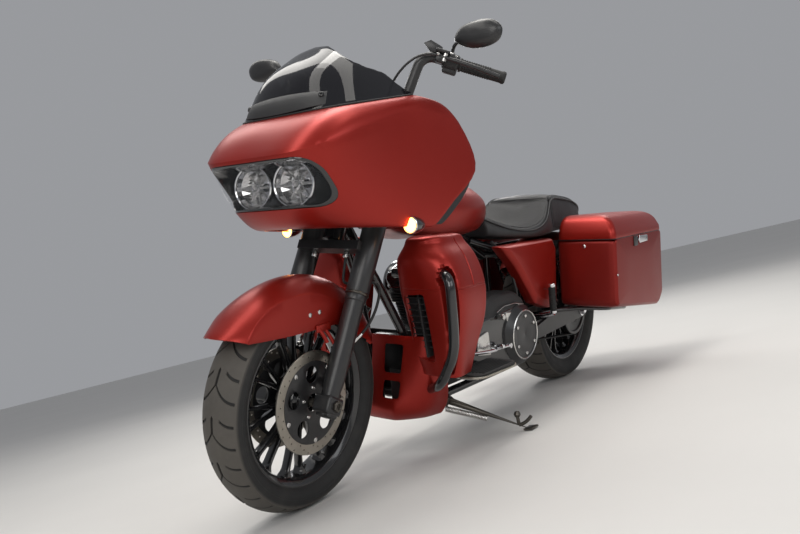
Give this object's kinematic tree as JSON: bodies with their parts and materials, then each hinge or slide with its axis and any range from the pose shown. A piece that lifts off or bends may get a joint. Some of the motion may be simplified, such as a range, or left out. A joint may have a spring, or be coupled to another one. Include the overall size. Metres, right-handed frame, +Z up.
{
  "type": "touring cruiser motorcycle",
  "caption": "Large road motorcycle with a frame-mounted fairing, low windshield, leg shields, hard saddlebags and a long dished seat, leaning on its side stand.",
  "frame": {"origin": "on the ground under the middle of the leaning motorcycle's bounding box", "axes": "+X forwards, +Y to the rider's left, which is the side it leans to, +Z up"},
  "size_m": [2.3618, 1.1274, 1.4711],
  "materials": {
    "body_red": "satin paint",
    "frame_black": "black powder coat",
    "gloss_black": "gloss black enamel",
    "engine_black": "black wrinkle finish",
    "chrome": "polished",
    "steel": "brushed",
    "aluminium": "dark grey satin",
    "tyre": "road tyre",
    "rubber": "ribbed rubber",
    "seat_leather": "black seat cover",
    "smoked_glass": "dark smoked",
    "lamp_glass": "clear lens",
    "black_plastic": "textured black",
    "amber_lens": "amber lens",
    "red_lens": "red lens"
  },
  "bodies": {
    "chassis": {"frame": "frame_black", "crankcase": "engine_black", "cylinders": "engine_black", "primary_cover": "gloss_black", "air_cleaner": "gloss_black", "exhaust": "chrome", "swingarm": "aluminium", "rear_shocks": "gloss_black", "drive_belt": "rubber", "fuel_tank": "body_red", "seat": "seat_leather", "rear_fender": "body_red", "tail_lamps": "red_lens", "side_covers": "body_red", "left_saddlebag": "body_red", "right_saddlebag": "body_red", "bag_guards": "gloss_black", "fairing": "body_red", "headlamp": "lamp_glass", "dash_panel": "black_plastic", "turn_signals": "amber_lens", "windshield": "smoked_glass", "leg_shields": "body_red", "engine_guard": "gloss_black", "chin_fairing": "body_red", "oil_cooler": "aluminium", "floorboards": "rubber", "foot_controls": "chrome"},
    "steering": {"yokes": "gloss_black", "fork_legs": "gloss_black", "handlebar": "gloss_black", "hand_controls": "black_plastic", "mirrors": "gloss_black", "front_fender": "body_red", "front_calipers": "gloss_black"},
    "front_wheel": {"front_tyre": "tyre", "front_rim": "gloss_black", "front_discs": "steel"},
    "rear_wheel": {"rear_tyre": "tyre", "rear_rim": "gloss_black", "rear_disc_and_pulley": "steel"},
    "left_lid": {"left_lid": "body_red"},
    "right_lid": {"right_lid": "body_red"},
    "fuel_door": {"fuel_door": "gloss_black"},
    "side_stand": {"side_stand": "frame_black"}
  },
  "joints": [
    {"name": "steering", "type": "hinge", "parent": "chassis", "child": "steering", "pos_m": [0.62271, -0.0441, 0.79067], "axis": [-0.4362, 0.1919, 0.8791], "range_deg": [-35.1, 24.9]},
    {"name": "front_wheel_spin", "type": "hinge", "parent": "steering", "child": "front_wheel", "pos_m": [0.84311, -0.15007, 0.31183], "axis": [-0.0805, 0.9647, -0.2506], "continuous": true},
    {"name": "rear_wheel_spin", "type": "hinge", "parent": "chassis", "child": "rear_wheel", "pos_m": [-0.78192, -0.147, 0.32335], "axis": [-0.0005, 0.9769, -0.2135], "continuous": true},
    {"name": "side_stand", "type": "hinge", "parent": "chassis", "child": "side_stand", "pos_m": [0.29217, -0.04926, 0.15909], "axis": [-0.4249, 0.6202, 0.6594], "range_deg": [0, 62]},
    {"name": "left_lid", "type": "hinge", "parent": "chassis", "child": "left_lid", "pos_m": [-1.07482, 0.34889, 0.56504], "axis": [-1, 0, 0.0025], "range_deg": [0, 80]},
    {"name": "right_lid", "type": "hinge", "parent": "chassis", "child": "right_lid", "pos_m": [-1.07437, -0.49713, 0.74997], "axis": [1, 0, -0.0025], "range_deg": [0, 80]},
    {"name": "fuel_door", "type": "hinge", "parent": "chassis", "child": "fuel_door", "pos_m": [0.22209, -0.01343, 0.93194], "axis": [-0.0005, 0.9769, -0.2135], "range_deg": [0, 95]}
  ]
}
